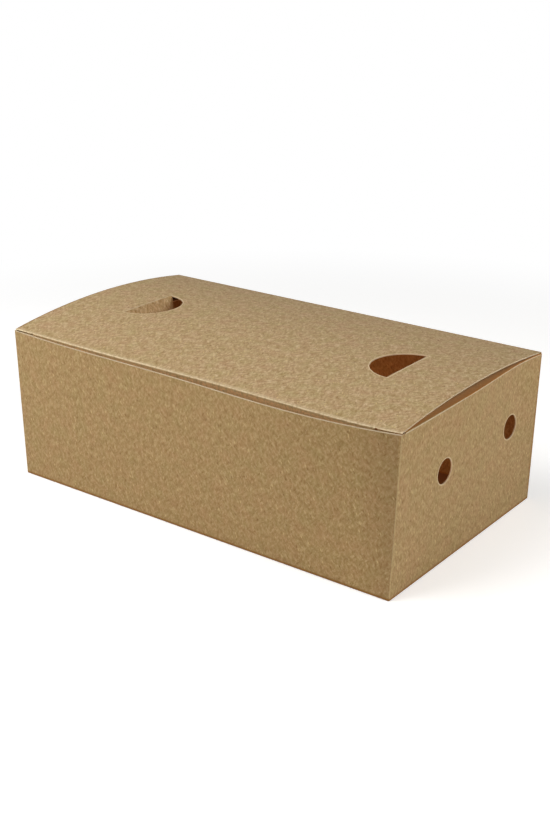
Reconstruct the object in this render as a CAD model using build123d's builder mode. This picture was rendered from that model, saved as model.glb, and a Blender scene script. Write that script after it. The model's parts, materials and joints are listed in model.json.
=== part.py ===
from build123d import *
import os
from math import cos, radians, sin

os.makedirs("parts", exist_ok=True)

# Takeaway snack box, folded from one sheet of kraft board. Sizes are in millimetres.
# X runs along the box, the front is at -Y, Z is up, and the origin is the middle of its base.

# The board and the box
board = 0.5  # thickness of the sheet
top_length = 196.6  # outside, at the lid's creases
top_width = 107.0
height = 66.7  # from the table to the lid's creases
end_lean = 2.5  # each end wall leans out this far from floor to top
side_lean = 1.4  # each long wall leans in this far from floor to top
corner_radius = 0.6  # outside of the folded corners
fold_radius = 0.3  # outside of the folds along the floor and the dust flaps
rim_drop = 0.8  # the front wall's free edge lies this far below the lid's creases
flap_drop = 0.5  # and the tops of the dust flaps this far

# The walls are straight at the floor. The front wall's free edge bows out, most at its right
bow_left = 2.3
bow_left_place = 60.0  # from the middle
bow_middle = 3.6
bow_right = 5.6
bow_right_place = 50.0
bow_corner = 3.2
bow_corner_from_end = 16.3
# and the top of the right end wall dents in, most beside the back corner
end_dent_start = 75.5  # from the back corner
end_dent_middle = 0.8
end_dent_middle_place = 41.5
end_dent = 1.6
end_dent_place = 17.5
hinge_from_end = 0.6  # the back wall's crease stops this far inside the box's ends

# Vents, two in each end wall
vent_radius = 5.2
vent_level = 40.3  # centres above the table
vent_spacing = 53.1
vent_shift = 5.7  # the pair sits this far towards the back

# The lid and its tuck flap
lid_hinge_gap = 0.2  # between the lid and the back wall's top edge
lid_end_front = 0.5  # the lid stops this far inside the box's ends, at the front
lid_end_back = 0.9  # and at the back
crown_left = 4.4  # rise of the lid's arch at its left end
crown_left_tab = 3.8
crown_middle = 3.3
crown_right_tab = 2.9
crown_corner = 3.1
crown_right = 3.3
crease_inset = 0.6  # the front crease starts this far behind the box's corners
crease_bow_left = 0.6  # and bows out by this much beside the left tab
crease_bow_middle = 0.8
crease_bow_right = 2.2
crease_bow_corner = 1.9
tuck_length = 20.0
tuck_lean = 7.0  # degrees that the tuck flap leans into the box
tuck_side_gap = 3.5  # between the tuck flap and the box's ends
tuck_corner = 14.0
slit_length = 10.5  # slit locks at both ends of the front crease
slit_width = 0.45
slit_end = 1.1  # diameter of a slit's opened end

# Half-moon vent tabs in the lid, hinged on their straight sides
moon_radius = 15.5
moon_from_left = 29.2  # left tab's straight side to the box's left end
moon_from_right = 30.6
tab_gap = 0.2  # between a tab's rim and its opening
tab_hinge_gap = 0.1  # between a tab's straight side and the lid
tab_set = 0.1  # a tab closes this far under the lid's crown
tab_fold = 70.0  # degrees that a tab is pushed in

# Dust flaps on the end walls' tops
dust_length = 27.0
dust_front_gap = 2.6  # room for the tuck flap
dust_back_gap = 1.5
dust_straight = 9.0  # of its sides, before they slant
dust_slant = 9.0

# Self-locking base: two long flaps hooked together below, two end flaps inside
end_flap_length = 42.0
end_flap_gap = 1.0  # to the long walls
hook_width = 28.0
seam_step = 6.0  # the seam lies this far behind the middle, then as far in front
seam_step_place = 14.0  # where it steps over, right of the middle
seam_step_length = 9.0
seam_width = 0.4
seam_from_end = 6.0

# Glue flap inside the back wall's left end
glue_width = 14.0
glue_margin = 4.0  # to the floor and the top
glue_slant = 5.0

# Worked out from the sizes above
half_length = top_length / 2
half_width = top_width / 2
rim_level = height - rim_drop
flap_level = height - flap_drop
hinge_y = half_width - board / 2
hinge_z = height - board / 2
hinge_half_length = half_length - hinge_from_end
bow_corner_place = half_length - bow_corner_from_end
left_moon_x = moon_from_left - half_length
right_moon_x = half_length - moon_from_right
beyond = top_length  # long enough for a cut to pass the whole box


# The walls lean, so half the box's length and width change with the level
def half_length_at(level):
    return half_length - end_lean * (1 - level / height)


def half_width_at(level):
    return half_width + side_lean * (1 - level / height)


# Outline of the walls where they are straight
def straight_outline(level, inset):
    x = half_length_at(level) - inset
    y = half_width_at(level) - inset
    with BuildLine() as outline:
        Polyline((-x, -y), (x, -y), (x, y), (-x, y), close=True)
    return outline.edges()


# Outline of the walls at the top, with the bowed front and the dented right end
def bowed_outline(inset):
    x = half_length - inset
    y = half_width - inset
    with BuildLine() as outline:
        front = Spline(
            (-x, -y),
            (-bow_left_place, -y - bow_left),
            (0, -y - bow_middle),
            (bow_right_place, -y - bow_right),
            (bow_corner_place, -y - bow_corner),
            (x, -y),
        )
        right_end = Spline(
            front @ 1,
            (x, half_width - end_dent_start),
            (x - end_dent_middle, half_width - end_dent_middle_place),
            (x - end_dent, half_width - end_dent_place),
            (x, y),
        )
        Polyline(right_end @ 1, (-x, y), front @ 0)
    return outline.edges()


# Half-moon of a tab or its opening: the part of a disc beyond the line x = start
def half_moon(radius, centre, start):
    with BuildSketch() as moon:
        with Locations((centre, 0)):
            Circle(radius)
        with Locations((start, 0)):
            Rectangle(2 * radius, 3 * radius, align=(Align.MAX, Align.CENTER), mode=Mode.SUBTRACT)
    return moon.sketch


# Walls, base, dust flaps and glue flap, all one sheet
with BuildPart() as carton:
    with BuildSketch(Plane.XY):
        make_face(straight_outline(0, 0))
    with BuildSketch(Plane.XY.offset(height)):
        make_face(bowed_outline(0))
    loft()
    corners = carton.edges().filter_by(lambda edge: edge.bounding_box().size.Z > 0.9 * height)
    fillet(corners, corner_radius)
    fillet(carton.faces().sort_by(Axis.Z)[0].edges(), fold_radius)
    with BuildSketch(Plane.XY.offset(board)):
        make_face(straight_outline(board, board))
    with BuildSketch(Plane.XY.offset(height)):
        make_face(bowed_outline(board))
    loft(mode=Mode.SUBTRACT)

    # the end walls go up to the dust flaps' folds, the front wall to its free edge
    with BuildSketch(Plane.XY.offset(flap_level)):
        Rectangle(2 * beyond, 2 * beyond)
        with Locations((0, half_width)):
            Rectangle(2 * hinge_half_length, 4 * board, mode=Mode.SUBTRACT)
    extrude(amount=height, mode=Mode.SUBTRACT)
    with BuildSketch(Plane.XY.offset(rim_level)):
        with Locations((0, -half_width + dust_front_gap)):
            Rectangle(2 * beyond, beyond, align=(Align.CENTER, Align.MAX))
    extrude(amount=height, mode=Mode.SUBTRACT)

    # only the back wall goes up to the lid's crease, and ends in the crease's round edge
    with BuildSketch(Plane.XY.offset(hinge_z)):
        Rectangle(2 * beyond, 2 * beyond)
    extrude(amount=height, mode=Mode.SUBTRACT)
    with Locations((0, hinge_y, hinge_z)):
        Cylinder(board / 2, 2 * hinge_half_length, rotation=(0, 90, 0))

    # dust flaps, folded level from the end walls' tops
    with BuildSketch(Plane.XY.offset(flap_level)):
        for side in (-1, 1):
            root = side * (half_length - board / 2)
            bend = side * (half_length - dust_straight)
            tip = side * (half_length - dust_length)
            front = -half_width + dust_front_gap
            back = half_width - dust_back_gap
            with BuildLine():
                Polyline(
                    (root, front),
                    (bend, front),
                    (tip, front + dust_slant),
                    (tip, back - dust_slant),
                    (bend, back),
                    (root, back),
                    close=True,
                )
            make_face()
        make_face(bowed_outline(board / 2), mode=Mode.INTERSECT)
    extrude(amount=-board)
    flap_edges = carton.edges().filter_by_position(Axis.Z, flap_level - board / 4, flap_level + board / 4)
    end_folds = flap_edges.filter_by(lambda edge: edge.length > half_width).sort_by(Axis.X)
    fillet([end_folds[0], end_folds[-1]], fold_radius)

    # upper layer of the base: the end flaps, and the hooks in the middle
    flap_root = half_length_at(board) - board / 2
    flap_tip = half_length_at(board) - end_flap_length
    flap_half = half_width_at(board) - board - end_flap_gap
    with BuildSketch(Plane.XY.offset(board)):
        Rectangle(2 * flap_tip, hook_width)
        for side in (-1, 1):
            with BuildLine():
                Polyline(
                    (side * flap_root, -flap_half),
                    (side * flap_tip, -hook_width / 2),
                    (side * flap_tip, hook_width / 2),
                    (side * flap_root, flap_half),
                    close=True,
                )
            make_face()
    extrude(amount=board)

    # seam between the hooked flaps, in the underside
    seam_end = half_length_at(0) - seam_from_end
    with BuildSketch(Plane.XY):
        with BuildLine() as seam:
            Polyline(
                (-seam_end, seam_step),
                (seam_step_place - seam_step_length / 2, seam_step),
                (seam_step_place + seam_step_length / 2, -seam_step),
                (seam_end, -seam_step),
            )
        trace(seam.edges(), line_width=seam_width)
    extrude(amount=board, mode=Mode.SUBTRACT)

    # glue flap against the inside of the back wall
    glue_low = glue_margin
    glue_high = height - glue_margin
    glue_plane = Plane(
        origin=(0, half_width_at(0) - board / 2, 0),
        x_dir=(1, 0, 0),
        z_dir=(0, -height, -side_lean),
    )
    with BuildSketch(glue_plane):
        with BuildLine():
            Polyline(
                (-half_length_at(glue_low) + board / 2, glue_low),
                (-half_length_at(glue_low) + board + glue_width, glue_low + glue_slant),
                (-half_length_at(glue_high) + board + glue_width, glue_high - glue_slant),
                (-half_length_at(glue_high) + board / 2, glue_high),
                close=True,
            )
        make_face()
    extrude(amount=1.5 * board)

    # vents
    vent_plane = Plane(origin=(0, vent_shift, vent_level), x_dir=(0, 1, 0), z_dir=(1, 0, 0))
    with BuildSketch(vent_plane):
        with GridLocations(vent_spacing, 1, 2, 1):
            Circle(vent_radius)
    extrude(amount=beyond, both=True, mode=Mode.SUBTRACT)
carton.part.label = "carton"
export_step(carton.part, "parts/carton.step")


# Section across the lid at x: from the back crease over the arch and down the tuck flap
def lid_section(x, crease_bow, crown):
    back = (hinge_y, height - board)
    front = (-half_width + crease_inset - crease_bow + board, height - board)
    top = ((front[0] + back[0]) / 2, height - board + crown)
    tip = (
        front[0] + tuck_length * sin(radians(tuck_lean)),
        front[1] - tuck_length * cos(radians(tuck_lean)),
    )
    with BuildSketch(Plane.YZ.offset(x)) as section:
        with BuildLine():
            ThreePointArc(back, top, front)
            Line(front, tip)
            offset(amount=board, side=Side.RIGHT)
        make_face()
    return section.sketch


# Arched lid panel and the tuck flap at its front
with BuildPart() as lid:
    loft(
        [
            lid_section(-half_length, 0, crown_left),
            lid_section(left_moon_x, crease_bow_left, crown_left_tab),
            lid_section(0, crease_bow_middle, crown_middle),
            lid_section(right_moon_x, crease_bow_right, crown_right_tab),
            lid_section(bow_corner_place, crease_bow_corner, crown_corner),
            lid_section(half_length, 0, crown_right),
        ]
    )

    # free ends, cut a little inside the box's ends
    with BuildSketch(Plane.XY):
        front_x = half_length - lid_end_front
        back_x = half_length - lid_end_back
        with BuildLine():
            Polyline(
                (-front_x, -half_width),
                (-back_x, half_width),
                (back_x, half_width),
                (front_x, -half_width),
                (front_x, -top_width),
                (-front_x, -top_width),
                close=True,
            )
        make_face()
    extrude(amount=2 * height, mode=Mode.INTERSECT)

    # hollow edge around the back wall's round top edge
    with Locations((0, hinge_y, hinge_z)):
        Cylinder(board / 2 + lid_hinge_gap, 2 * beyond, rotation=(0, 90, 0), mode=Mode.SUBTRACT)

    # the tuck flap's ends and rounded corners, below the slits
    slit_top = height - board
    with BuildSketch(Plane.XZ.offset(half_width - tuck_corner)):
        with Locations((0, slit_top)):
            Rectangle(2 * beyond, 3 * tuck_length, align=(Align.CENTER, Align.MAX))
        with Locations((0, slit_top - tuck_length * cos(radians(tuck_lean)))):
            RectangleRounded(
                top_length - 2 * tuck_side_gap,
                3 * tuck_length,
                tuck_corner,
                align=(Align.CENTER, Align.MIN),
                mode=Mode.SUBTRACT,
            )
    extrude(amount=half_width, mode=Mode.SUBTRACT)

    # slit locks, with their opened ends
    with BuildSketch(Plane.XZ.offset(half_width - 2 * tuck_side_gap)):
        for side in (-1, 1):
            slit_x = side * (half_length - slit_length)
            slit_align = Align.MIN if side > 0 else Align.MAX
            with Locations((slit_x, slit_top)):
                Rectangle(2 * slit_length, slit_width, align=(slit_align, Align.MAX))
            with Locations((slit_x, slit_top - slit_width / 2)):
                Circle(slit_end / 2)
    extrude(amount=half_width, mode=Mode.SUBTRACT)

    # openings of the half-moon vents
    with BuildSketch(Plane.XY.offset(rim_level)):
        add(half_moon(moon_radius, left_moon_x, left_moon_x))
        add(mirror(half_moon(moon_radius, -right_moon_x, -right_moon_x), Plane.YZ, mode=Mode.PRIVATE))
    extrude(amount=height, mode=Mode.SUBTRACT)
lid.part.label = "lid"
export_step(lid.part, "parts/lid.step")


# A half-moon tab, pushed in about its straight side
def vent_tab_part(side, moon_x, crown):
    set_back = board / 2 + tab_hinge_gap
    axis_x = moon_x - side * set_back
    axis_z = height + crown - board / 2 - tab_set
    fold = radians(tab_fold)
    tab_plane = Plane(
        origin=(axis_x, 0, axis_z),
        x_dir=(-side * cos(fold), 0, -sin(fold)),
        z_dir=(-side * sin(fold), 0, cos(fold)),
    )
    rim = moon_radius - tab_gap
    with BuildPart() as tab:
        with BuildSketch(tab_plane):
            add(half_moon(rim, -set_back, 0))
        extrude(amount=board / 2, both=True)
        with BuildSketch(Plane(origin=(axis_x, 0, axis_z), z_dir=(0, 1, 0))):
            Circle(board / 2)
        extrude(amount=rim - board, both=True)
    return tab.part


left_vent_tab = vent_tab_part(-1, left_moon_x, crown_left_tab)
left_vent_tab.label = "left_vent_tab"
export_step(left_vent_tab, "parts/left_vent_tab.step")

right_vent_tab = vent_tab_part(1, right_moon_x, crown_right_tab)
right_vent_tab.label = "right_vent_tab"
export_step(right_vent_tab, "parts/right_vent_tab.step")
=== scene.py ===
import json
from math import cos, radians, sin

import bmesh
import bpy
from mathutils import Matrix, Vector


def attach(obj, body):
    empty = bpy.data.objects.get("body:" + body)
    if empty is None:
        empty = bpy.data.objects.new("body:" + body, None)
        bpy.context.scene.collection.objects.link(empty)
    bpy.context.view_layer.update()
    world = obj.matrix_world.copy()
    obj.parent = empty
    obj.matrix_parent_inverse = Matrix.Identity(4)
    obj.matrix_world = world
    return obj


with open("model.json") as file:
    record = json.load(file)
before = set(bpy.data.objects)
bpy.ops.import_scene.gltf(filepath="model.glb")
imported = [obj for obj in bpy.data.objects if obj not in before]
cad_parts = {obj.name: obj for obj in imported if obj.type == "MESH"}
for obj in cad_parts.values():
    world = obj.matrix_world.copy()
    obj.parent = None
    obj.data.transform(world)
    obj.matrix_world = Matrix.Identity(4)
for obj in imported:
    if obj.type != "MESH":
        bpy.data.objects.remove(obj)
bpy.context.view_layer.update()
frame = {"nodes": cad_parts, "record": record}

# Takeaway snack box of folded kraft board. The CAD gives the board its shape in metres;
# this script gives it paper, creases, torn fibres, light and a camera.

scene = bpy.context.scene
mm = 0.001
print("frame loaded:", ", ".join(sorted(frame["nodes"])))


def addNode(tree, kind, inputs=None, **settings):
    node = tree.nodes.new(kind)
    for name, value in settings.items():
        setattr(node, name, value)
    for socket, value in (inputs or {}).items():
        if isinstance(value, bpy.types.NodeSocket):
            tree.links.new(value, node.inputs[socket])
        else:
            node.inputs[socket].default_value = value
    return node


def linearColour(hexColour):
    channels = [int(hexColour[i:i + 2], 16) / 255 for i in (1, 3, 5)]
    linear = [c / 12.92 if c <= 0.04045 else ((c + 0.055) / 1.055) ** 2.4 for c in channels]
    return (*linear, 1)


# Camera at the photograph's angle
view = {
    "azimuth": 37.34,  # degrees from the front towards the right end
    "elevation": 21.72,
    "roll": -0.27,
    "lens": 56.64,  # mm, on a 36 mm sensor along the picture's height
    "target": (0, 0, 0.038),  # metres, as the next ones are
    "distance": 0.5539,
    "slideRight": 0.00165,
    "slideDown": 0.00367,
    "nearest": 0.01,
}


def placeCamera(look):
    a, e, r = (radians(look[k]) for k in ("azimuth", "elevation", "roll"))
    back = Vector((sin(a) * cos(e), -cos(a) * cos(e), sin(e)))
    level = Vector((cos(a), sin(a), 0))
    upright = back.cross(level)
    right = cos(r) * level + sin(r) * upright
    up = cos(r) * upright - sin(r) * level
    data = bpy.data.cameras.new("camera")
    data.lens = look["lens"]
    data.clip_start = look["nearest"]
    camera = bpy.data.objects.new("camera", data)
    scene.collection.objects.link(camera)
    place = Vector(look["target"]) + look["distance"] * back
    place += look["slideRight"] * right - look["slideDown"] * up
    turn = Matrix((right, up, back)).transposed().to_4x4()
    camera.matrix_world = Matrix.Translation(place) @ turn
    scene.camera = camera


placeCamera(view)
print("camera placed")


# Uncoated unbleached kraft board, formed on a wire and calendered once. Long wood fibres lie
# mostly along the machine direction, so the eye gets a matte brown with short pale and dark strokes.
board = {
    "paleFibre": "#c9ad7b",
    "darkFibre": "#8c6833",
    "warmCloud": "#b08b5b",
    "coolCloud": "#aa8e59",
    "paleShive": "#d5bb82",
    "darkShive": "#7a5426",
    "cutEdge": "#d2bf9f",  # the ply's paler middle, and torn fibre ends that catch light
    "foldWearAndHighlight": "#c8ad7c",  # stretched outer fibres, with a painted highlight where the fold rounds
    "pressedRimAndHighlight": "#d4bc92",  # the die presses the board down round a hole and polishes it; the paler tone is also a painted highlight on that rim
    "paintedFloorShade": "#8f5f1d",  # painted shade along the bottom fold, where it turns to the floor
    "innerSideAndShade": "#ead8c0",  # multiplies the tones on the sheet's rougher, browner back; it is also painted shade for the inside of the box
    "fibreWidth": 0.96,  # mm, as coarse as the picture shows; real fibres are 0.05 mm
    "fibreLength": 2.7,
    "fibreAngles": (-47, -22, 16, 42),  # degrees from the machine direction
    "fibreShare": 0.82,  # how near the middle of a stroke comes to its own tone
    "paleNoise": (0.55, 0.78),  # levels of the noise where a pale stroke begins and is full
    "darkNoise": (0.45, 0.22),
    "cloudSize": 7.0,  # mm, flocks of fibre
    "cloudNoise": (0.32, 0.68),  # from warm to cool
    "shiveWidth": 1.2,
    "shiveLength": 3.0,
    "shiveAngle": 20,
    "shiveEdge": (0.28, 0.1),  # from the middle of its cell, as a share of the cell
    "shiveShare": 0.75,
    "paleShives": 0.28,  # share of the cells that hold one
    "darkShives": 0.14,
    "toothScale": 3.0,  # waves to a mm
    "toothShade": 0.06,  # how much it lightens and darkens the board
    "toothHeight": 0.5,  # beside the strokes' own height
    "grainScale": 0.9,  # waves to a mm; it breaks up the wear and the cut edges
    "foldTurn": (0.975, 0.9),  # cosines of the turn where a fold begins and is full
    "wearNoise": (0.35, 0.58),
    "leastWear": 0.45,
    "leastCutTone": 0.55,
    "paintedFloorShadeHeight": (1.5, 0.7),  # mm above the floor, where it begins and is full
    "paintedFloorShadeShare": 0.9,
    "roughness": 0.75,
    "ior": 1.5,  # cellulose
    "gloss": 0.3,  # an open fibre surface reflects less than its cellulose would
    "fuzz": 0.16,  # loose fibre ends that make the board paler where it is seen at a low angle
    "relief": 0.02,  # mm
    "reliefStrength": 0.6,
}

# The lid and the tabs are the same board; their paler tones are painted sheen from the light above
lidBoardPaintedSheen = {
    **board,
    "paleFibre": "#d9c09a",
    "darkFibre": "#8c6938",
    "warmCloud": "#b5936a",
    "coolCloud": "#ae9664",
    "fibreLength": 3.4,
    "fuzz": 0.1,
}

# The tabs are paler still: painted light on tabs that hang in the shade of the holes
tabBoardPaintedLight = {
    **lidBoardPaintedSheen,
    "paleFibre": "#dcc49c",
    "warmCloud": "#b9986b",
    "coolCloud": "#b49b67",
    "fibreLength": 2.7,
}

# Parts of a face's unit normal: it faces an axis above the first and lies across it below the second
facesAxis = 0.7
crossesAxis = 0.6

# Where each piece shows the board's cut edge, in mm with x taken without its sign.
# "across" is the axis that the board's own faces point along there, "along" the cut edge's own axis.
wallCuts = [
    {"x": (0, 98), "y": (-60, -51.2), "z": (65.68, 66.0)},  # front wall's free edge, feathered
    {"x": (50, 99), "y": (-51.3, 52.4), "z": (65.7, 66.3), "across": 2},  # dust flaps and their folds
    {"x": (93, 99), "y": (-30, 40), "z": (34, 48), "across": 0},  # round vents
]
lidCuts = [
    {"x": (90, 100), "y": (-60, 60), "z": (60, 80), "along": 0},  # free ends
    {"x": (0, 100), "y": (-60, -40), "z": (40, 65.6), "across": 1},  # tuck flap's edges
    {"x": (50, 69.2), "y": (-15.7, 15.7), "z": (66.5, 80), "across": 2},  # half-moon openings
]

# Die-cut holes, in mm, seen along the axis that isn't named. Half a disc lies "towards" one side
# of its centre, and with "plainFold" the board behind its straight side isn't pressed.
wallHoles = [
    {"axes": (1, 2), "centre": (-20.85, 40.3), "radius": 5.2},
    {"axes": (1, 2), "centre": (32.25, 40.3), "radius": 5.2},
]
lidHoles = [
    {"axes": (0, 1), "centre": (-69.1, 0), "radius": 15.5, "towards": 1, "plainFold": True},
    {"axes": (0, 1), "centre": (67.7, 0), "radius": 15.5, "towards": -1},
]
rimWidth = 0.5  # mm of pressed board round a hole, full at half of that

# Bands of colour, in mm: wear along the creases, and painted light and shade in gaps and on faces
# turned from the lamps. The grain breaks them up. Where "fades" is an axis, they come up evenly along it
# instead, from nothing to their share.
wallPaintedShade = [
    # painted warm shade on the dust flap's fold, under the lid's edge
    {"x": (89, 98), "y": (-52, 53), "z": (66.0, 66.3), "fades": 0, "tone": "#c27f2e", "share": 0.95},
    {"x": (96, 99), "y": (52.4, 56), "z": (1, 66), "tone": "#96682c", "share": 0.7},  # painted shade on the back corner's fold
    # painted shade: the front wall darkens towards its right corner, where it turns from the key lamp
    {"x": (80, 97), "y": (-60, -50), "z": (0, 67), "along": 1, "fades": 0, "tone": "#6e4a2c", "share": 0.2},
]
lidWearAndPaintedLight = [
    {"x": (-99, 99), "y": (-60, -50), "z": (66.25, 66.62), "tone": "#ecd9b2", "share": 0.9},  # front crease
    {"x": (-99, 99), "y": (-60, -50), "z": (66.62, 66.8), "tone": "#e6d2b4", "share": 0.25},  # above it
    {"x": (-99, 99), "y": (-60, -45), "z": (65.5, 66.25), "tone": "#d9b27a", "share": 0.9},  # under it: painted light in the gap's shade
    {"x": (-99, 99), "y": (-60, -45), "z": (63.7, 65.5), "tone": "#f0be82", "share": 0.95},  # tuck flap: painted light in the gap's shade
    {"x": (-99, -97.15), "y": (-52, 55), "z": (66, 75), "tone": "#83581f", "share": 0.95},  # left end
    {"x": (-99, 99), "y": (52.5, 55), "z": (66, 68), "tone": "#83581f", "share": 0.95},  # back crease
    # painted shade: the lid darkens towards its hinge, where less light falls
    {"x": (-99, 99), "y": (-15, 56), "z": (66, 80), "fades": 1, "tone": "#7a5a30", "share": 0.14},
]


def maskOfRims(tree, xyz, holes):
    mask = None
    for hole in holes:
        away = [addNode(tree, "ShaderNodeMath", {0: xyz[axis], 1: middle}, operation="SUBTRACT").outputs[0]
                for axis, middle in zip(hole["axes"], hole["centre"])]
        offset = addNode(tree, "ShaderNodeCombineXYZ", {0: away[0], 1: away[1]}).outputs[0]
        out = addNode(tree, "ShaderNodeVectorMath", {0: offset}, operation="LENGTH").outputs["Value"]
        out = addNode(tree, "ShaderNodeMath", {0: out, 1: hole["radius"]}, operation="SUBTRACT").outputs[0]
        if "towards" in hole:
            behind = addNode(tree, "ShaderNodeMath", {0: away[0], 1: -hole["towards"]},
                             operation="MULTIPLY").outputs[0]
            out = addNode(tree, "ShaderNodeMath", {0: out, 1: behind}, operation="MAXIMUM").outputs[0]
        rim = addNode(tree, "ShaderNodeMapRange", {0: out, 1: rimWidth, 2: 0.5 * rimWidth}).outputs[0]
        if "plainFold" in hole:
            beside = addNode(tree, "ShaderNodeMath", {0: behind, 1: 0.0}, operation="LESS_THAN").outputs[0]
            rim = addNode(tree, "ShaderNodeMath", {0: rim, 1: beside}, operation="MULTIPLY").outputs[0]
        mask = rim if mask is None else addNode(
            tree, "ShaderNodeMath", {0: mask, 1: rim}, operation="MAXIMUM").outputs[0]
    return mask


def maskOfCuts(tree, point, facing, cuts):
    mask = None
    for cut in cuts:
        found = None
        for axis, name in enumerate("xyz"):
            low, high = cut[name]
            within = addNode(tree, "ShaderNodeMath",
                             {0: point.outputs[axis], 1: (low + high) / 2, 2: (high - low) / 2},
                             operation="COMPARE").outputs[0]
            found = within if found is None else addNode(
                tree, "ShaderNodeMath", {0: found, 1: within}, operation="MULTIPLY").outputs[0]
        for word, limit, test in (("along", facesAxis, "GREATER_THAN"), ("across", crossesAxis, "LESS_THAN")):
            if word in cut:
                turned = addNode(tree, "ShaderNodeMath", {0: facing.outputs[cut[word]], 1: limit},
                                 operation=test).outputs[0]
                found = addNode(tree, "ShaderNodeMath", {0: found, 1: turned},
                                operation="MULTIPLY").outputs[0]
        mask = found if mask is None else addNode(
            tree, "ShaderNodeMath", {0: mask, 1: found}, operation="MAXIMUM").outputs[0]
    return mask


boxMiddle = 33.0  # mm above the floor
boxHalves = (98, 53, 33)  # mm
innerTurn = (-0.05, -0.25)  # how far faces turn to the middle as the inner side begins and is full
rimTurn = 0.8  # cosine of the turn past which a face of a tab is its rim
sliceStep = 37  # mm between the slices of noise that two layers of strokes read
noiseSpan = (0.3, 0.7)  # nearly all of a noise's values


def flatPlaces(tree, xyz, facing):
    # Two coordinates on each panel: across the machine direction, then along it. The third is 0 on
    # long walls, 200 on end walls and 400 on level panels, so no two share a pattern.
    panel = addNode(tree, "ShaderNodeCombineXYZ", {0: xyz[0], 1: xyz[2], 2: 0.0}).outputs[0]
    for faced, across, along, third in ((0, 1, 2, 200.0), (2, 0, 1, 400.0)):
        flat = addNode(tree, "ShaderNodeCombineXYZ", {0: xyz[across], 1: xyz[along], 2: third}).outputs[0]
        isFaced = addNode(tree, "ShaderNodeMath", {0: facing.outputs[faced], 1: facesAxis},
                          operation="GREATER_THAN").outputs[0]
        panel = addNode(tree, "ShaderNodeMix", {0: isFaced, 4: panel, 5: flat},
                        data_type="VECTOR").outputs[1]
    return panel


def layStrokes(tree, panel, look):
    # strokes of fibre that cross at small angles
    pale, dark = None, None
    for layer, angle in enumerate(look["fibreAngles"]):
        laid = addNode(tree, "ShaderNodeMapping",
                       {"Vector": panel, "Location": (0, 0, sliceStep * layer),
                        "Rotation": (0, 0, radians(angle)),
                        "Scale": (look["fibreWidth"], look["fibreLength"], 1)},
                       vector_type="TEXTURE").outputs[0]
        strokes = addNode(tree, "ShaderNodeTexNoise",
                          {"Vector": laid, "Scale": 1.0, "Detail": 1.5, "Roughness": 0.6}).outputs[0]
        pale = strokes if pale is None else addNode(
            tree, "ShaderNodeMath", {0: pale, 1: strokes}, operation="MAXIMUM").outputs[0]
        dark = strokes if dark is None else addNode(
            tree, "ShaderNodeMath", {0: dark, 1: strokes}, operation="MINIMUM").outputs[0]
    return pale, dark


def scatterShives(tree, panel, look, colour):
    # shives: single coarse bundles of fibre, pale or dark
    shiveSpace = addNode(tree, "ShaderNodeMapping",
                         {"Vector": panel, "Rotation": (0, 0, radians(look["shiveAngle"])),
                          "Scale": (look["shiveWidth"], look["shiveLength"], 1)},
                         vector_type="TEXTURE").outputs[0]
    shives = addNode(tree, "ShaderNodeTexVoronoi", {"Vector": shiveSpace, "Scale": 1.0, "Randomness": 1.0})
    pick = addNode(tree, "ShaderNodeSeparateColor", {0: shives.outputs["Color"]}).outputs
    begins, full = look["shiveEdge"]
    near = addNode(tree, "ShaderNodeMapRange",
                   {0: shives.outputs["Distance"], 1: begins, 2: full}).outputs[0]
    for channel, holding, tone in ((0, "paleShives", "paleShive"), (1, "darkShives", "darkShive")):
        chosen = addNode(tree, "ShaderNodeMath", {0: pick[channel], 1: 1 - look[holding]},
                         operation="GREATER_THAN").outputs[0]
        shown = addNode(tree, "ShaderNodeMath", {0: near, 1: chosen}, operation="MULTIPLY").outputs[0]
        shown = addNode(tree, "ShaderNodeMath", {0: shown, 1: look["shiveShare"]},
                        operation="MULTIPLY").outputs[0]
        colour = addNode(tree, "ShaderNodeMix", {0: shown, 6: colour, 7: linearColour(look[tone])},
                         data_type="RGBA").outputs[2]
    return colour


def markBands(tree, place, facing, marks, broken, isOuter, colour):
    for mark in marks:
        marked = maskOfCuts(tree, place, facing, [mark])
        shown = broken  # by the grain
        if "fades" in mark:
            axis = mark["fades"]
            begins, full = mark["xyz"[axis]]
            shown = addNode(tree, "ShaderNodeMapRange",
                            {0: place.outputs[axis], 1: begins, 2: full}).outputs[0]
        marked = addNode(tree, "ShaderNodeMath", {0: marked, 1: shown}, operation="MULTIPLY").outputs[0]
        marked = addNode(tree, "ShaderNodeMath", {0: marked, 1: isOuter}, operation="MULTIPLY").outputs[0]
        marked = addNode(tree, "ShaderNodeMath", {0: marked, 1: mark["share"]},
                         operation="MULTIPLY").outputs[0]
        colour = addNode(tree, "ShaderNodeMix", {0: marked, 6: colour, 7: linearColour(mark["tone"])},
                         data_type="RGBA").outputs[2]
    return colour


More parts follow.
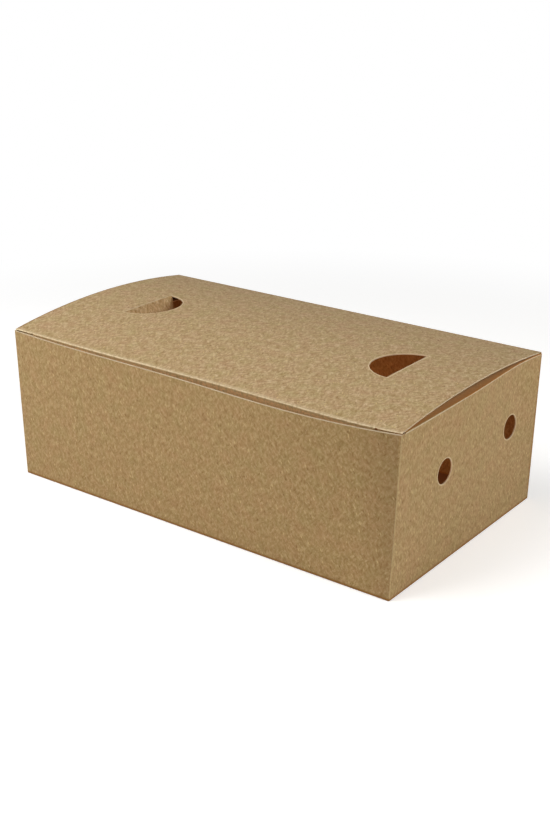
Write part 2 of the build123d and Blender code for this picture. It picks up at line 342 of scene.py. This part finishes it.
def kraftBoard(name, look, cuts=(), holes=(), marks=(), tilt=None):
    material = bpy.data.materials.new(name)
    material.use_nodes = True
    tree = material.node_tree
    tree.nodes.clear()
    where = addNode(tree, "ShaderNodeTexCoord")
    point = addNode(tree, "ShaderNodeVectorMath", {0: where.outputs["Object"], "Scale": 1 / mm},
                    operation="SCALE").outputs[0]
    place = addNode(tree, "ShaderNodeSeparateXYZ", {0: point})
    xyz = place.outputs
    turned = addNode(tree, "ShaderNodeVectorMath", {0: where.outputs["Normal"]},
                     operation="ABSOLUTE").outputs[0]
    facing = addNode(tree, "ShaderNodeSeparateXYZ", {0: turned})

    panel = flatPlaces(tree, xyz, facing)
    pale, dark = layStrokes(tree, panel, look)

    # soft clouds of thicker and thinner sheet, under the strokes
    clouds = addNode(tree, "ShaderNodeTexNoise",
                     {"Vector": panel, "Scale": 1 / look["cloudSize"], "Detail": 3.0}).outputs[0]
    warmest, coolest = look["cloudNoise"]
    cloudy = addNode(tree, "ShaderNodeMapRange", {0: clouds, 1: warmest, 2: coolest}).outputs[0]
    colour = addNode(tree, "ShaderNodeMix", {0: cloudy, 6: linearColour(look["warmCloud"]),
                                             7: linearColour(look["coolCloud"])}, data_type="RGBA").outputs[2]
    for strokes, noise, tone in ((pale, "paleNoise", "paleFibre"), (dark, "darkNoise", "darkFibre")):
        begins, full = look[noise]
        shown = addNode(tree, "ShaderNodeMapRange",
                        {0: strokes, 1: begins, 2: full, 4: look["fibreShare"]}).outputs[0]
        colour = addNode(tree, "ShaderNodeMix", {0: shown, 6: colour, 7: linearColour(look[tone])},
                         data_type="RGBA").outputs[2]

    colour = scatterShives(tree, panel, look, colour)

    # a fine tooth, which the eye only finds close up
    tooth = addNode(tree, "ShaderNodeTexNoise",
                    {"Vector": point, "Scale": look["toothScale"], "Detail": 3.0}).outputs[0]
    speckle = addNode(tree, "ShaderNodeMapRange",
                      {0: tooth, 1: noiseSpan[0], 2: noiseSpan[1],
                       3: 1 - look["toothShade"], 4: 1 + look["toothShade"]}).outputs[0]
    colour = addNode(tree, "ShaderNodeVectorMath", {0: colour, "Scale": speckle},
                     operation="SCALE").outputs[0]

    # the sheet's inner side faces the middle of the box
    if tilt is None:
        fromMiddle = addNode(tree, "ShaderNodeVectorMath", {0: point, 1: (0, 0, -boxMiddle)},
                             operation="ADD").outputs[0]
        fromMiddle = addNode(tree, "ShaderNodeVectorMath", {0: fromMiddle, 1: boxHalves},
                             operation="DIVIDE").outputs[0]
        outward = addNode(tree, "ShaderNodeVectorMath", {0: where.outputs["Normal"], 1: fromMiddle},
                          operation="DOT_PRODUCT").outputs["Value"]
    else:
        outward = addNode(tree, "ShaderNodeSeparateXYZ", {0: where.outputs["Normal"]}).outputs[2]
    isInner = addNode(tree, "ShaderNodeMapRange", {0: outward, 1: innerTurn[0], 2: innerTurn[1]}).outputs[0]
    # the back's own tone, darkened further as painted shade inside the box
    colour = addNode(tree, "ShaderNodeMix", {0: isInner, 6: colour, 7: linearColour(look["innerSideAndShade"])},
                     data_type="RGBA", blend_type="MULTIPLY").outputs[2]

    # stretched fibres and a painted highlight on the outside of the folds, broken up by the grain
    flattest = addNode(tree, "ShaderNodeMath", {0: facing.outputs[0], 1: facing.outputs[1]},
                       operation="MAXIMUM").outputs[0]
    flattest = addNode(tree, "ShaderNodeMath", {0: flattest, 1: facing.outputs[2]},
                       operation="MAXIMUM").outputs[0]
    grain = addNode(tree, "ShaderNodeTexNoise",
                    {"Vector": point, "Scale": look["grainScale"], "Detail": 2.0}).outputs[0]
    if tilt is None:
        begins, full = look["foldTurn"]
        fold = addNode(tree, "ShaderNodeMapRange", {0: flattest, 1: begins, 2: full}).outputs[0]
        begins, full = look["wearNoise"]
        broken = addNode(tree, "ShaderNodeMapRange",
                         {0: grain, 1: begins, 2: full, 3: look["leastWear"]}).outputs[0]
        wornAndLit = addNode(tree, "ShaderNodeMath", {0: fold, 1: broken}, operation="MULTIPLY").outputs[0]
        colour = addNode(tree, "ShaderNodeMix", {0: wornAndLit, 6: colour, 7: linearColour(look["foldWearAndHighlight"])},
                         data_type="RGBA").outputs[2]
        isOuter = addNode(tree, "ShaderNodeMath", {0: 1.0, 1: isInner}, operation="SUBTRACT").outputs[0]
        colour = markBands(tree, place, facing, marks, broken, isOuter, colour)
        unsigned = addNode(tree, "ShaderNodeMath", {0: xyz[0]}, operation="ABSOLUTE").outputs[0]
        mirrored = addNode(tree, "ShaderNodeCombineXYZ", {0: unsigned, 1: xyz[1], 2: xyz[2]}).outputs[0]
        mirrored = addNode(tree, "ShaderNodeSeparateXYZ", {0: mirrored})
        isCut = maskOfCuts(tree, mirrored, facing, cuts)
        # pressed rims round the holes, paler, with a painted highlight on them
        isRim = maskOfRims(tree, xyz, holes)
        colour = addNode(tree, "ShaderNodeMix", {0: isRim, 6: colour, 7: linearColour(look["pressedRimAndHighlight"])},
                         data_type="RGBA").outputs[2]
        # painted shade along the bottom fold, darker towards the floor
        begins, full = look["paintedFloorShadeHeight"]
        floorShaded = addNode(tree, "ShaderNodeMapRange",
                         {0: xyz[2], 1: begins, 2: full, 4: look["paintedFloorShadeShare"]}).outputs[0]
        colour = addNode(tree, "ShaderNodeMix", {0: floorShaded, 6: colour, 7: linearColour(look["paintedFloorShade"])},
                         data_type="RGBA").outputs[2]
    else:
        # a pushed-in tab: its rim is what doesn't face the way the tab does
        flat = addNode(tree, "ShaderNodeVectorMath",
                       {0: turned, 1: (sin(radians(tilt)), 0, cos(radians(tilt)))},
                       operation="DOT_PRODUCT").outputs["Value"]
        isCut = addNode(tree, "ShaderNodeMath", {0: flat, 1: rimTurn}, operation="LESS_THAN").outputs[0]
    cutTone = addNode(tree, "ShaderNodeMapRange",
                      {0: grain, 1: noiseSpan[0], 2: noiseSpan[1], 3: look["leastCutTone"]}).outputs[0]
    cutShare = addNode(tree, "ShaderNodeMath", {0: isCut, 1: cutTone}, operation="MULTIPLY").outputs[0]
    colour = addNode(tree, "ShaderNodeMix", {0: cutShare, 6: colour, 7: linearColour(look["cutEdge"])},
                     data_type="RGBA").outputs[2]

    # relief of the strokes and the tooth
    height = addNode(tree, "ShaderNodeMath", {0: pale, 1: dark}, operation="ADD").outputs[0]
    height = addNode(tree, "ShaderNodeMath", {0: tooth, 1: look["toothHeight"], 2: height},
                     operation="MULTIPLY_ADD").outputs[0]
    bump = addNode(tree, "ShaderNodeBump",
                   {"Strength": look["reliefStrength"], "Distance": look["relief"] * mm, "Height": height})
    surface = addNode(tree, "ShaderNodeBsdfPrincipled",
                      {"Base Color": colour, "Roughness": look["roughness"], "Normal": bump.outputs[0]})
    surface.inputs["IOR"].default_value = look["ior"]
    surface.inputs["Specular IOR Level"].default_value = look["gloss"]
    surface.inputs["Sheen Weight"].default_value = look["fuzz"]
    addNode(tree, "ShaderNodeOutputMaterial", {"Surface": surface.outputs[0]})
    return material


tabTilt = 70  # degrees, as the tabs are pushed in
finishes = {
    "carton": kraftBoard("unbleached_kraft_board_walls", board, wallCuts, wallHoles, wallPaintedShade),
    "lid": kraftBoard("unbleached_kraft_board_lid", lidBoardPaintedSheen, lidCuts, lidHoles, lidWearAndPaintedLight),
    "left_vent_tab": kraftBoard("unbleached_kraft_board_tabs", tabBoardPaintedLight, tilt=tabTilt),
}
finishes["right_vent_tab"] = finishes["left_vent_tab"]
for node, finish in finishes.items():
    for place in frame["nodes"][node].material_slots:
        place.material = finish
print("board finished:", len(finishes), "nodes")


# Score lines that the lid and the tabs turn about. A web of kraft board crushed by the creasing rule,
# thinner than the sheet, closes the gap there: the eye gets a pale line of stretched fibre.
# It moves with the lid, and its far side ends in the other piece's round edge.
web = {
    "thickness": 0.3,  # mm, as the other lengths here
    "intoEdge": 0.1,  # how deep its far side goes into the other piece
    "edgeRadius": 0.25,  # the round edges, half the board's thickness
    "lidHalf": 97.0,
    "lidReach": 0.8,  # from the axis to where the lid's web ends
    "lidSlope": 0.14,  # the arch's slope at the back
    "tabHalf": 14.7,
    "tabReach": 0.6,
    "archHalf": 53.0,  # half the arch's width
    "steps": 24,
    "tones": {"paleFibre": "#dcc396", "warmCloud": "#b8955f", "coolCloud": "#b4975f"},
}


def makeWeb(name, lidRail, axisRail, finish):
    corners, faces = [], []
    for onLid, onAxis in zip(lidRail, axisRail):
        along = lidRail[-1] - lidRail[0]
        upright = (onAxis - onLid).cross(along).normalized() * web["thickness"] / 2
        corners += [onLid + upright, onLid - upright, onAxis - upright, onAxis + upright]
    for step in range(len(lidRail) - 1):
        first = 4 * step
        for side in range(4):
            after = (side + 1) % 4
            faces.append((first + side, first + after, first + 4 + after, first + 4 + side))
    last = len(corners) - 4
    faces += [(3, 2, 1, 0), (last, last + 1, last + 2, last + 3)]
    mesh = bpy.data.meshes.new(name)
    mesh.from_pydata([corner * mm for corner in corners], [], faces)
    mesh.validate()
    turnOutwards(mesh)
    mesh.materials.append(finish)
    piece = bpy.data.objects.new(name, mesh)
    scene.collection.objects.link(piece)
    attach(piece, "lid")


def turnOutwards(mesh):
    shape = bmesh.new()
    shape.from_mesh(mesh)
    bmesh.ops.recalc_face_normals(shape, faces=shape.faces)
    shape.to_mesh(mesh)
    shape.free()


def makeWebs():
    finish = kraftBoard("kraft_board_crushed_in_a_crease", {**lidBoardPaintedSheen, **web["tones"]}, tilt=0)
    axes = {joint["name"]: Vector(joint["pos_m"]) / mm for joint in frame["record"]["behaviour"]["joints"]}
    shares = [2 * step / web["steps"] - 1 for step in range(web["steps"] + 1)]
    hinge = axes["lid_hinge"]
    reach = web["lidReach"] * Vector((0, -1, web["lidSlope"]))
    edge = (web["edgeRadius"] - web["intoEdge"]) * Vector((0, -1, web["lidSlope"]))
    places = [hinge + Vector((share * web["lidHalf"], 0, 0)) for share in shares]
    makeWeb("lid_crease", [place + reach for place in places], [place + edge for place in places], finish)
    for side, name in ((-1, "left"), (1, "right")):
        axis = axes[name + "_tab_hinge"]
        lidRail, axisRail = [], []
        for share in shares:
            y = share * web["tabHalf"]
            crown = axis.z - hinge.z
            drop = crown * (y / web["archHalf"]) ** 2
            lidRail.append(axis + Vector((side * web["tabReach"], y, -drop)))
            axisRail.append(axis + Vector((side * (web["edgeRadius"] - web["intoEdge"]), y, 0)))
        makeWeb(name + "_tab_crease", lidRail, axisRail, finish)


makeWebs()
print("creases closed: 3 webs")


# Loose fibre ends that stand out of the cut edges, scattered over the cut faces
fibres = {
    "Density": 2.5e6,  # to a square metre
    "Length": 0.3 * mm,
    "Thickness": 0.04 * mm,
    "Lean": radians(55),  # at most, from the cut face's normal
    "Bend": 0.5,  # how far the tip goes sideways, as a share of the length
    "Shortest": 0.4,  # shares of the length
    "Longest": 1.2,
    "Seed": 11,
}


def makeFibreTree():
    tree = bpy.data.node_groups.new("fibre_ends", "GeometryNodeTree")
    tree.interface.new_socket("Geometry", in_out="INPUT", socket_type="NodeSocketGeometry")
    for name in ("Density", "Length", "Thickness", "Lean", "Bend", "Shortest", "Longest"):
        tree.interface.new_socket(name, in_out="INPUT", socket_type="NodeSocketFloat")
    tree.interface.new_socket("Seed", in_out="INPUT", socket_type="NodeSocketInt")
    tree.interface.new_socket("Material", in_out="INPUT", socket_type="NodeSocketMaterial")
    tree.interface.new_socket("Geometry", in_out="OUTPUT", socket_type="NodeSocketGeometry")
    given = addNode(tree, "NodeGroupInput").outputs
    points = addNode(tree, "GeometryNodeDistributePointsOnFaces",
                     {"Mesh": given["Geometry"], "Density": given["Density"], "Seed": given["Seed"]})
    # one fibre: it leaves the cut straight and bends over
    tip = addNode(tree, "ShaderNodeCombineXYZ", {0: given["Bend"], 1: 0.0, 2: 1.0}).outputs[0]
    tip = addNode(tree, "ShaderNodeVectorMath", {0: tip, "Scale": given["Length"]},
                  operation="SCALE").outputs[0]
    bend = addNode(tree, "ShaderNodeCombineXYZ", {0: 0.0, 1: 0.0, 2: given["Length"]}).outputs[0]
    path = addNode(tree, "GeometryNodeCurveQuadraticBezier",
                   {"Resolution": 3, "Start": (0, 0, 0), "Middle": bend, "End": tip}).outputs[0]
    outline = addNode(tree, "GeometryNodeCurvePrimitiveCircle",
                      {"Resolution": 3, "Radius": given["Thickness"]}).outputs[0]
    fibre = addNode(tree, "GeometryNodeCurveToMesh", {"Curve": path, "Profile Curve": outline}).outputs[0]
    # and leans any way, turned any way about the face's normal
    least = addNode(tree, "ShaderNodeMath", {0: given["Lean"], 1: -1.0}, operation="MULTIPLY").outputs[0]
    low = addNode(tree, "ShaderNodeCombineXYZ", {0: least, 1: least, 2: 0.0}).outputs[0]
    high = addNode(tree, "ShaderNodeCombineXYZ",
                   {0: given["Lean"], 1: given["Lean"], 2: radians(360)}).outputs[0]
    lean = addNode(tree, "FunctionNodeRandomValue", {"Min": low, "Max": high, "Seed": given["Seed"]},
                   data_type="FLOAT_VECTOR").outputs["Value"]
    lean = addNode(tree, "FunctionNodeEulerToRotation", {0: lean}).outputs[0]
    turn = addNode(tree, "FunctionNodeRotateRotation", {0: points.outputs["Rotation"], 1: lean},
                   rotation_space="LOCAL").outputs[0]
    size = addNode(tree, "FunctionNodeRandomValue",
                   {2: given["Shortest"], 3: given["Longest"], "Seed": given["Seed"]}).outputs[1]
    placed = addNode(tree, "GeometryNodeInstanceOnPoints",
                     {"Points": points.outputs["Points"], "Instance": fibre, "Rotation": turn,
                      "Scale": size}).outputs[0]
    real = addNode(tree, "GeometryNodeRealizeInstances", {0: placed}).outputs[0]
    done = addNode(tree, "GeometryNodeSetMaterial",
                   {"Geometry": real, "Material": given["Material"]}).outputs[0]
    addNode(tree, "NodeGroupOutput", {0: done})
    return tree


def cutFaces(node, cuts):
    source = frame["nodes"][node].data
    corners, faces = [], []
    for polygon in source.polygons:
        middle = polygon.center / mm
        place = (abs(middle.x), middle.y, middle.z)
        for cut in cuts:
            ranges = [cut[axis] for axis in "xyz"]
            wanted = all(low < value < high for value, (low, high) in zip(place, ranges))
            if "across" in cut:
                wanted = wanted and abs(polygon.normal[cut["across"]]) < crossesAxis
            if "along" in cut:
                wanted = wanted and abs(polygon.normal[cut["along"]]) > facesAxis
            if wanted:
                faces.append(range(len(corners), len(corners) + len(polygon.vertices)))
                corners += [source.vertices[index].co for index in polygon.vertices]
                break
    mesh = bpy.data.meshes.new(node + "_cut_faces")
    mesh.from_pydata(corners, [], [tuple(face) for face in faces])
    return mesh


def growFibres(tree, node, cuts, finish):
    source = bpy.data.objects.new(node + "_cuts", cutFaces(node, cuts))
    scene.collection.objects.link(source)
    modifier = source.modifiers.new("fibre_ends", "NODES")
    modifier.node_group = tree
    sockets = {item.name: item.identifier for item in tree.interface.items_tree if item.in_out == "INPUT"}
    for name, value in {**fibres, "Material": finish}.items():
        modifier[sockets[name]] = value
    grown = bpy.data.meshes.new_from_object(source.evaluated_get(bpy.context.evaluated_depsgraph_get()))
    bpy.data.objects.remove(source)
    piece = bpy.data.objects.new(node + "_fibre_ends", grown)
    scene.collection.objects.link(piece)
    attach(piece, node)
    return len(grown.polygons)


# Torn kraft fibre, pulled out of the sheet's edge by the die. It is dull and paler than the board's
# face, so the eye gets a fine light fringe along the cuts.
tornFibre = {
    "tones": ("#d2bf9f", "#d5bb82"),
    "toneScale": 900.0,  # waves to a metre
    "roughness": 0.8,
    "ior": 1.5,
}


def looseFibre(name, look):
    material = bpy.data.materials.new(name)
    material.use_nodes = True
    tree = material.node_tree
    tree.nodes.clear()
    where = addNode(tree, "ShaderNodeTexCoord").outputs["Object"]
    tone = addNode(tree, "ShaderNodeTexNoise",
                   {"Vector": where, "Scale": look["toneScale"], "Detail": 1.0}).outputs[0]
    colour = addNode(tree, "ShaderNodeMix",
                     {0: tone, 6: linearColour(look["tones"][0]), 7: linearColour(look["tones"][1])},
                     data_type="RGBA").outputs[2]
    surface = addNode(tree, "ShaderNodeBsdfPrincipled",
                      {"Base Color": colour, "Roughness": look["roughness"]})
    surface.inputs["IOR"].default_value = look["ior"]
    addNode(tree, "ShaderNodeOutputMaterial", {"Surface": surface.outputs[0]})
    return material


fibreTree = makeFibreTree()
fibreFinish = looseFibre("torn_kraft_fibre", tornFibre)
count = growFibres(fibreTree, "carton", wallCuts, fibreFinish)
# the lid's free ends and its tuck flap, as the half-moons are cut clean
count += growFibres(fibreTree, "lid", lidCuts[:2], fibreFinish)
print("fibre ends grown:", count, "faces")


# Floor of uncoated seamless paper: the eye gets a dull, pale, even sweep with a soft shadow. It adds
# light of its own for the camera only, so it reads white and keeps that shadow.
studio = {
    "floorSize": 14.0,  # metres, as the other lengths here; the lamps' powers are watts
    "floorLevel": -0.1 * mm,  # so the base doesn't lie in the floor's own plane
    "floor": "#f2f1ef",
    "floorGlow": 0.42,
    "whiteFrom": 0.22,  # from the box's middle, where the shadow has all but ended
    "whiteBeyond": 0.42,
    "worldLight": 0.02,
    "lamps": {
        "key": {"from": (-0.263, -0.532, 0.225), "to": (-0.03, 0, 0.04), "size": 0.3, "power": 0.74},
        "side": {"from": (0.75, 0.18, 0.5), "to": (0, 0, 0.03), "size": 0.5, "power": 4.62},
        "overhead": {"from": (-0.2, -0.26, 0.54), "to": (-0.02, -0.02, 0.05), "size": 0.5, "power": 2.91},
    },
    # stands in for the light that comes through the board, which is orange; tilted from straight down
    "inside": {"from": (0.0, -0.042, 0.036), "size": (0.17, 0.03), "tilt": 80, "power": 0.04,
               "colour": "#ffcaa4"},
}


def makeFloor(look):
    half = look["floorSize"] / 2
    mesh = bpy.data.meshes.new("floor")
    level = look["floorLevel"]
    corners = [(-half, -half, level), (half, -half, level), (half, half, level), (-half, half, level)]
    mesh.from_pydata(corners, [], [(0, 1, 2, 3)])
    floor = bpy.data.objects.new("floor", mesh)
    scene.collection.objects.link(floor)
    material = bpy.data.materials.new("seamless_paper_sweep")
    material.use_nodes = True
    tree = material.node_tree
    tree.nodes.clear()
    ray = addNode(tree, "ShaderNodeLightPath").outputs["Is Camera Ray"]
    glow = addNode(tree, "ShaderNodeMath", {0: ray, 1: look["floorGlow"]}, operation="MULTIPLY").outputs[0]
    paper = addNode(tree, "ShaderNodeBsdfDiffuse", {"Color": linearColour(look["floor"])})
    shine = addNode(tree, "ShaderNodeEmission", {"Color": (1, 1, 1, 1), "Strength": glow})
    both = addNode(tree, "ShaderNodeAddShader", {0: paper.outputs[0], 1: shine.outputs[0]})
    where = addNode(tree, "ShaderNodeTexCoord").outputs["Object"]
    away = addNode(tree, "ShaderNodeVectorMath", {0: where}, operation="LENGTH").outputs["Value"]
    far = addNode(tree, "ShaderNodeMapRange", {0: away, 1: look["whiteFrom"], 2: look["whiteBeyond"]},
                  interpolation_type="SMOOTHSTEP").outputs[0]
    far = addNode(tree, "ShaderNodeMath", {0: far, 1: ray}, operation="MULTIPLY").outputs[0]
    white = addNode(tree, "ShaderNodeEmission", {"Color": (1, 1, 1, 1)})
    backdrop = addNode(tree, "ShaderNodeMixShader", {0: far, 1: both.outputs[0], 2: white.outputs[0]})
    addNode(tree, "ShaderNodeOutputMaterial", {"Surface": backdrop.outputs[0]})
    mesh.materials.append(material)


def lightStudio(look):
    for name, lamp in look["lamps"].items():
        data = bpy.data.lights.new(name, "AREA")
        data.size = lamp["size"]
        data.energy = lamp["power"]
        lampObject = bpy.data.objects.new(name, data)
        scene.collection.objects.link(lampObject)
        lampObject.location = lamp["from"]
        aim = Vector(lamp["to"]) - Vector(lamp["from"])
        lampObject.rotation_euler = aim.to_track_quat("-Z", "Y").to_euler()
    data = bpy.data.lights.new("inside", "AREA")
    data.shape = "RECTANGLE"
    data.size, data.size_y = look["inside"]["size"]
    data.energy = look["inside"]["power"]
    data.color = linearColour(look["inside"]["colour"])[:3]
    lampObject = bpy.data.objects.new("inside", data)
    scene.collection.objects.link(lampObject)
    lampObject.location = look["inside"]["from"]
    lampObject.rotation_euler = (radians(look["inside"]["tilt"]), 0, 0)  # at the back wall, a little down
    lampObject.visible_camera = False
    world = bpy.data.worlds.new("world")
    scene.world = world
    world.use_nodes = True
    tree = world.node_tree
    tree.nodes.clear()
    path = addNode(tree, "ShaderNodeLightPath").outputs["Is Camera Ray"]
    strength = addNode(tree, "ShaderNodeMapRange", {0: path, 3: look["worldLight"], 4: 1.0}).outputs[0]
    sky = addNode(tree, "ShaderNodeBackground", {"Color": (1, 1, 1, 1), "Strength": strength})
    addNode(tree, "ShaderNodeOutputWorld", {"Surface": sky.outputs[0]})


makeFloor(studio)
lightStudio(studio)
scene.view_settings.view_transform = "Standard"
print("floor and lamps set")
